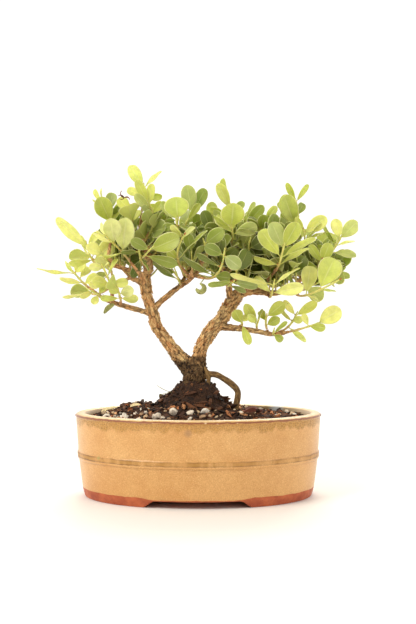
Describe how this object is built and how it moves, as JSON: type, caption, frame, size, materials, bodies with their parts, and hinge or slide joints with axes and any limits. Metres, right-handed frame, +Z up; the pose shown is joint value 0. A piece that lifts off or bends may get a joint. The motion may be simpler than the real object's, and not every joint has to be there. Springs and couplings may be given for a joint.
{
  "type": "natal plum bonsai in an oval pot",
  "caption": "Small forked tree with leathery round leaves in crossed pairs, an arching root and a soil mound, standing in a low oval glazed pot.",
  "frame": {"origin": "middle of the whole footprint, crown included, on the surface the pot stands on", "axes": "+Z up the tree, X along the pot's long side with the arching root towards +X, viewer at -Y"},
  "size_m": [0.329, 0.1936, 0.3392],
  "materials": {
    "glaze": "glossy speckled tan glaze with an olive crackle band under a pale rim; bare terracotta feet",
    "screen": "dark plastic mesh",
    "soil": "dark bark mix with orange-brown bits and white perlite lumps",
    "bark": "rough flaking reddish-tan bark, dark with soil at the base",
    "leaf": "leathery satin leaves, deep olive inside the crown and yellow-green at the tips"
  },
  "bodies": {
    "root": {"pot": "glaze", "drain_screen_left": "screen", "drain_screen_right": "screen", "soil": "soil", "trunk": "bark", "spray_01": "leaf", "spray_02": "leaf", "spray_03": "leaf", "spray_04": "leaf", "spray_05": "leaf", "spray_06": "leaf", "spray_07": "leaf", "spray_08": "leaf", "spray_09": "leaf", "spray_10": "leaf", "spray_11": "leaf", "spray_12": "leaf", "spray_13": "leaf", "spray_14": "leaf", "spray_15": "leaf", "spray_16": "leaf", "spray_17": "leaf", "spray_18": "leaf", "spray_19": "leaf", "spray_20": "leaf", "spray_21": "leaf", "spray_22": "leaf", "spray_23": "leaf", "spray_24": "leaf", "spray_25": "leaf", "spray_26": "leaf", "spray_27": "leaf", "spray_28": "leaf", "spray_29": "leaf", "spray_30": "leaf", "spray_31": "leaf", "spray_32": "leaf", "spray_33": "leaf", "spray_34": "leaf", "spray_35": "leaf", "spray_36": "leaf", "spray_37": "leaf", "spray_38": "leaf", "spray_39": "leaf", "spray_40": "leaf", "spray_41": "leaf", "spray_42": "leaf", "spray_43": "leaf", "spray_44": "leaf", "spray_45": "leaf", "spray_46": "leaf", "spray_47": "leaf", "spray_48": "leaf", "spray_49": "leaf", "spray_50": "leaf", "spray_51": "leaf"}
  },
  "joints": []
}
